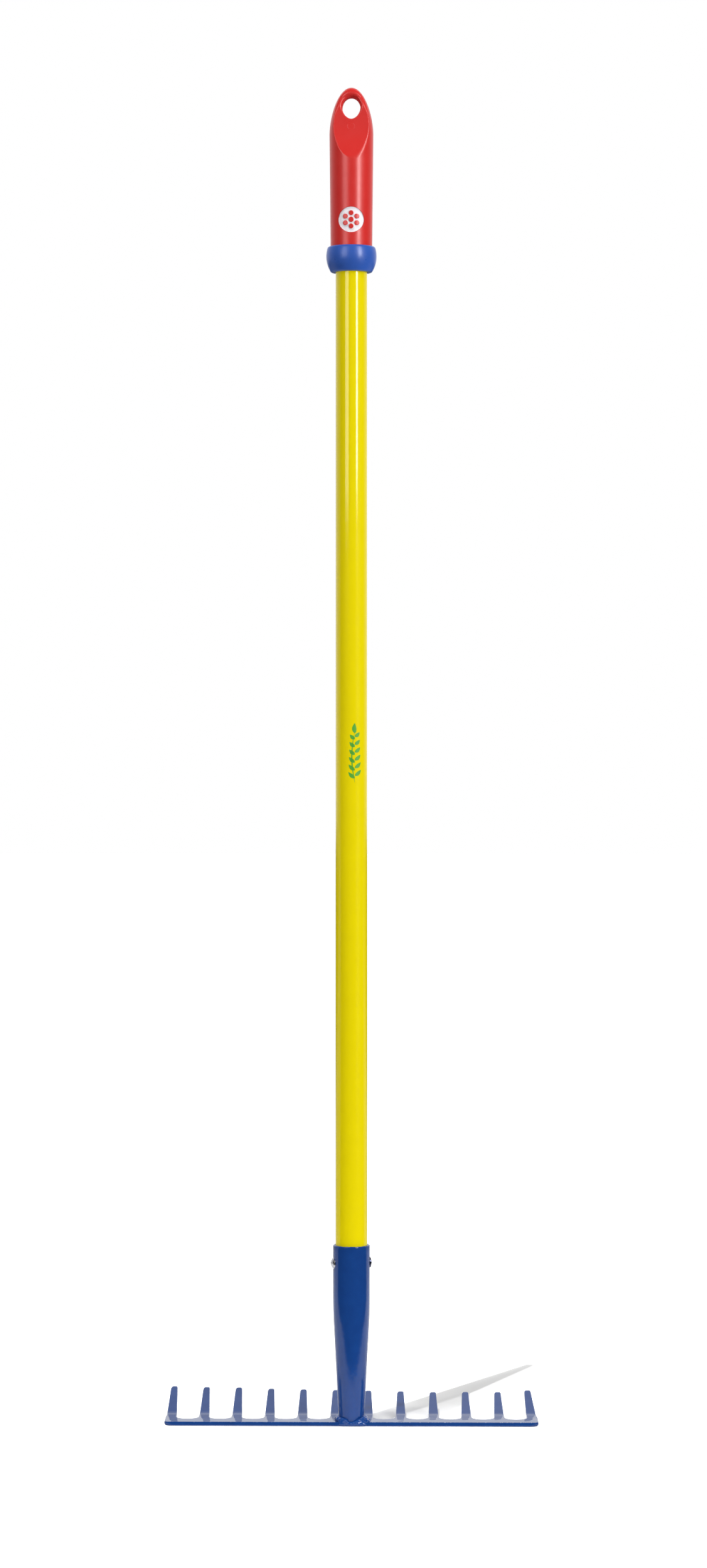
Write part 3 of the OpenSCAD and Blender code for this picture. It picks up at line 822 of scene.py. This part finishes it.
def make_motif():
    spots = [(0.0, BADGE_Z, HEART_R)]
    for k in range(PETALS):
        a = 2 * math.pi * k / PETALS
        spots.append((-PETAL_REACH * math.sin(a), BADGE_Z + PETAL_REACH * math.cos(a), PETAL_R))
    low, top = -BADGE_INSET - 0.15, -BADGE_INSET + MOTIF_H
    edge_z = top - MOTIF_EDGE_R
    points, faces = [], []
    for x, z, radius in spots:
        profile = [(0, low), (radius * 0.6, low), (radius, low), (radius, edge_z)]
        profile += [(radius - MOTIF_EDGE_R + MOTIF_EDGE_R * math.cos(a), edge_z + MOTIF_EDGE_R * math.sin(a))
                    for a in np.linspace(0.3, math.pi / 2, 4)]
        profile += [(radius * 0.6, top), (0, top)]
        plate, quads = skin_plate((x, z), profile, 40)
        start = sum(len(p) for p in points)
        points.append(plate)
        faces += [tuple(start + i for i in quad) for quad in quads]
    return add_piece("badge_petals", np.concatenate(points), faces, grip_plastic, crease=40.0)


dress(make_badge(), "badge_disc")
dress(make_motif(), "badge_motif")


# Printed sprig on the shaft, in place of the lettering

def leaf(base, direction, length, width, steps=14, across=6):
    """Grid of points of a pointed leaf, laid flat as (along the girth, height)."""
    ahead = np.array([math.sin(direction), math.cos(direction)])
    aside = np.array([ahead[1], -ahead[0]])
    side = 1 if direction > 0 else -1
    grid = []
    for i in range(steps + 1):
        t = i / steps
        half = width / 2 * math.sin(math.pi * t ** 0.8) ** 0.9 if 0 < t < 1 else 0.02
        bow = side * 0.06 * length * math.sin(math.pi * t)
        middle = np.array(base) + ahead * length * t
        grid.append([middle + aside * (half * s + bow) for s in np.linspace(-1, 1, across + 1)])
    return np.array(grid)


def make_print():
    shapes = [leaf((STEM_X, STEM_Z), 0.0, STEM_L, STEM_W, 30, 4),
              leaf((STEM_X, END_LEAF_Z), 0.0, END_LEAF_L, END_LEAF_W)]
    for k in range(LEAF_PAIRS):
        z = LEAF_Z + LEAF_PITCH * k
        for side in (-1, 1):
            base = (STEM_X, z + LEAF_STAGGER * (side > 0))
            shapes.append(leaf(base, side * LEAF_TURN, LEAF_L - LEAF_SHRINK * k, LEAF_W))
    points, faces = [], []
    for grid in shapes:
        rows, columns = grid.shape[:2]
        under = rows * columns
        number = sum(len(p) for p in points) + np.arange(under).reshape(rows, columns)
        angle = grid[..., 0] / SHAFT_R
        for radius in (SHAFT_R + INK_OUT, SHAFT_R - INK_IN):
            skin = np.stack([radius * np.sin(angle), -radius * np.cos(angle), grid[..., 1]], -1)
            points.append(skin.reshape(-1, 3))
        quads = np.stack([number[:-1, :-1], number[:-1, 1:], number[1:, 1:], number[1:, :-1]], -1)
        quads = quads.reshape(-1, 4)
        border = np.concatenate([number[:, 0], number[-1, 1:], number[-2::-1, -1], number[0, -2:0:-1]])
        ahead = np.roll(border, -1)
        rim = np.stack([border, ahead, ahead + under, border + under], -1)
        both = np.stack([quads, quads[:, ::-1] + under], 1).reshape(-1, 4)
        faces += both.tolist() + rim.tolist()
    return add_piece("shaft_print", np.concatenate(points), faces, print_ink, crease=30.0)


sprig = make_print()
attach(sprig, "root")


# Studio, in metres and degrees

BACK = (-0.139, 0.990, 0.0)    # the way the bright side of the studio lies
AMBIENT = 0.49
# light of the studio in reflections, as (place towards BACK, level)
GLOSS_STOPS = ((0.06, 0.03), (0.14, 0.42), (0.30, 0.46), (0.66, 0.94), (1.0, 1.1))
FLOOR_HALF = 12.0
SHADOW_TURN = 29.4    # the way the shadow lies, to the right of straight back
SHADOW_EDGE_TURN = 28.0    # the way of the line on its left side from which the floor shows it
SHADOW_END = (0.285, 0.300)    # distances from the foot where the floor stops to show it
SUN_HEIGHT = 68.0


def paper_sheet(n, sides):
    """1 on the paper and 0 off it. It ends a hand's width in front of the rake, further back at the sides, and
    again far behind the rake."""
    edge = n.spread(n.math("ABSOLUTE", sides["X"]), 0.2, 0.65, -0.13, 0.14)
    paper = n.spread(n.math("SUBTRACT", n.along(BACK), edge), -0.02, 0.02, 0.0, 1.0)
    return n.math("MULTIPLY", paper, n.spread(sides["Y"], 1.8, 2.6, 1.0, 0.0))


def shadow_share(n, sides, far):
    """1 where the camera sees the rake's shadow and 0 where the floor is white, as in the photograph's cut-out.
    The left side is a clean line. The right side is wide and soft as far as the tenth tine, and close and sharp
    from there."""
    turn = math.radians(SHADOW_EDGE_TURN)
    aside = n.along((math.cos(turn), -math.sin(turn), 0.0))
    left = n.spread(aside, -0.0085, -0.0065, 0.0, 1.0)
    limit = n.spread(sides["X"], 0.0805, 0.084, 0.058, 0.034)
    softness = n.spread(sides["X"], 0.0795, 0.084, 0.014, 0.003)
    past = n.math("SUBTRACT", n.math("ADD", aside, n.math("MULTIPLY", far, 0.115)), limit)
    right = n.spread(n.math("DIVIDE", past, softness), -1.0, 1.0, 1.0, 0.0)
    behind = n.spread(sides["Y"], -0.014, -0.006, 0.0, 1.0)
    end = n.spread(far, *SHADOW_END, 1.0, 0.0)
    return n.math("MULTIPLY", n.math("MULTIPLY", left, right), n.math("MULTIPLY", behind, end))


def make_floor():
    """White paper. In reflections it has edges and turns dark far behind the rake, as in the photograph. The
    camera sees white all round, with the rake's shadow near its foot."""
    mesh = bpy.data.meshes.new("floor")
    corners = [(-FLOOR_HALF, -FLOOR_HALF, 0), (FLOOR_HALF, -FLOOR_HALF, 0), (FLOOR_HALF, FLOOR_HALF, 0),
               (-FLOOR_HALF, FLOOR_HALF, 0)]
    mesh.from_pydata(corners, [], [(0, 1, 2, 3)])
    n = Nodes("floor_paper")
    n.tree.nodes.remove(n.shader)
    sides = n.sides()
    far = n.add("ShaderNodeVectorMath", {0: n.where}, operation="LENGTH").outputs["Value"]
    path = n.add("ShaderNodeLightPath").outputs
    paper = paper_sheet(n, sides)
    off_paper = n.spread(path["Is Glossy Ray"], 0.0, 1.0, 0.28, 0.03)
    pale = n.math("MAXIMUM", n.math("MULTIPLY", paper, n.spread(far, 0.55, 1.1, 0.95, 0.42)), off_paper)
    # the camera sees the paper a little darker further from the foot, which deepens the far end of the shadow
    depth = n.spread(far, 0.09, 0.17, 1.0, 0.84)
    pale = n.math("MULTIPLY", pale, n.spread(path["Is Camera Ray"], 0.0, 1.0, 1.0, depth))
    tint = n.add("ShaderNodeCombineColor", {"Red": pale, "Green": pale, "Blue": pale}).outputs["Color"]
    white = n.add("ShaderNodeBsdfDiffuse", {"Color": tint})
    shadow = n.math("MULTIPLY", paper, shadow_share(n, sides, far))
    # near the foot the camera sees a painted glow on the paper that lightens the shadow there
    painted_lift = n.spread(far, 0.045, 0.11, 0.26, 0.0)
    fill = n.math("MULTIPLY", path["Is Camera Ray"], n.spread(shadow, 0.0, 1.0, 1.0, painted_lift))
    light = n.add("ShaderNodeEmission", {"Color": (1.0, 1.0, 1.0, 1.0), "Strength": fill})
    both = n.add("ShaderNodeAddShader", {0: white.outputs[0], 1: light.outputs[0]})
    n.join(both.outputs[0], n.tree.nodes["Material Output"].inputs["Surface"])
    floor = add_object("floor", mesh, n.material)
    return floor


def make_world():
    """White where the camera sees it; in reflections bright behind the rake and dark on the camera's side."""
    world = bpy.data.worlds.new("studio")
    bpy.context.scene.world = world
    world.use_nodes = True
    tree = world.node_tree
    add, join = tree.nodes.new, tree.links.new
    ground = tree.nodes["Background"]
    ground.inputs["Color"].default_value = (1.0, 1.0, 1.0, 1.0)
    depth = add("ShaderNodeVectorMath")
    depth.operation = "DOT_PRODUCT"
    join(add("ShaderNodeTexCoord").outputs["Generated"], depth.inputs[0])
    depth.inputs[1].default_value = BACK
    levels = add("ShaderNodeValToRGB")
    join(depth.outputs["Value"], levels.inputs["Fac"])
    stops = levels.color_ramp.elements
    for stop, (place, level) in ((stops[0], GLOSS_STOPS[0]), (stops[1], GLOSS_STOPS[-1])):
        stop.position, stop.color = place, (level, level, level, 1)
    for place, level in GLOSS_STOPS[1:-1]:
        stops.new(place).color = (level, level, level, 1)
    path = add("ShaderNodeLightPath")
    glossy = add("ShaderNodeMix")
    join(path.outputs["Is Glossy Ray"], glossy.inputs["Factor"])
    glossy.inputs["A"].default_value = AMBIENT
    join(levels.outputs["Color"], glossy.inputs["B"])
    seen = add("ShaderNodeMath")
    seen.operation = "MAXIMUM"
    join(glossy.outputs["Result"], seen.inputs[0])
    join(path.outputs["Is Camera Ray"], seen.inputs[1])
    join(seen.outputs[0], ground.inputs["Strength"])


def add_lamp(name, kind, energy):
    lamp = bpy.data.objects.new(name, bpy.data.lights.new(name, kind))
    lamp.data.energy = energy
    bpy.context.scene.collection.objects.link(lamp)
    return lamp


def soft_light(name, bearing, distance, low, high, width, power):
    """Tall soft light that faces the rake. Bearing is to the right of the camera, and low and high are the
    heights of its ends."""
    a = math.radians(bearing)
    lamp = add_lamp(name, "AREA", power)
    lamp.data.shape = "RECTANGLE"
    lamp.data.size, lamp.data.size_y = width, high - low
    lamp.location = (distance * math.sin(a), -distance * math.cos(a), (low + high) / 2)
    lamp.rotation_euler = (math.pi / 2, 0, a)
    return lamp


def sun_light(name, turn, energy, spread):
    """Sun that throws shadows back and to the right, by turn degrees from straight back, and no glints."""
    lamp = add_lamp(name, "SUN", energy)
    lamp.data.angle = math.radians(spread)
    a, height = math.radians(turn), math.radians(SUN_HEIGHT)
    toward = Vector((-math.sin(a) * math.cos(height), -math.cos(a) * math.cos(height), math.sin(height)))
    lamp.rotation_mode = "QUATERNION"
    lamp.rotation_quaternion = toward.to_track_quat("Z", "Y")
    lamp.visible_glossy = False
    return lamp


def linked(name, objects, state):
    """Group of objects that a lamp lights or leaves out, or that throw its shadows or don't."""
    group = bpy.data.collections.new(name)
    for obj in objects:
        group.objects.link(obj)
    for item in group.collection_objects:
        item.light_linking.link_state = state
    return group


floor = make_floor()
make_world()
right_strip = soft_light("right_strip", bearing=41.4, distance=2.0, low=0.78, high=2.2, width=0.41, power=32.0)
left_strip = soft_light("left_strip", bearing=-32.0, distance=2.0, low=0.75, high=2.2, width=0.86, power=16.0)
key = soft_light("key", bearing=50.0, distance=2.2, low=0.0, high=1.8, width=1.2, power=32.0)
right_strip.visible_diffuse = left_strip.visible_diffuse = key.visible_glossy = False

# two suns throw the rake's shadow on the floor; the third lights the rake, without the shaft's shadow on the
# tines and the collar's on the shaft, which the photograph doesn't show
shadow_sun = sun_light("shadow_sun", SHADOW_TURN, energy=0.85, spread=0.9)
soft_sun = sun_light("soft_sun", SHADOW_TURN + 8.0, energy=0.8, spread=6.0)
rake_sun = sun_light("rake_sun", SHADOW_TURN + 4.0, energy=1.65, spread=4.0)
on_floor = linked("on_floor", [floor], "INCLUDE")
shadow_sun.light_linking.receiver_collection = soft_sun.light_linking.receiver_collection = on_floor
rake_sun.light_linking.receiver_collection = linked("off_floor", [floor], "EXCLUDE")
rake_sun.light_linking.blocker_collection = linked("no_shadow", [socket, shaft, collar], "EXCLUDE")


# Camera, level, at about the height of the rake's middle and a little to the right; places in metres

CAMERA_AT = (0.00144, -2.729, 0.4872)
CAMERA_TURN = 1.0
LENS, SENSOR = 90.0, 36.0    # millimetres
SHIFT_Y = -0.038
CLIP_END = 100.0

camera = bpy.data.objects.new("camera", bpy.data.cameras.new("camera"))
camera.data.lens, camera.data.sensor_width = LENS, SENSOR
camera.data.shift_y = SHIFT_Y
camera.data.clip_end = CLIP_END
bpy.context.scene.collection.objects.link(camera)
around = Matrix.Rotation(math.radians(CAMERA_TURN), 4, "Z")
camera.matrix_world = around @ Matrix.Translation(CAMERA_AT) @ Matrix.Rotation(math.pi / 2, 4, "X")
bpy.context.scene.camera = camera
bpy.context.scene.view_settings.view_transform = "Standard"
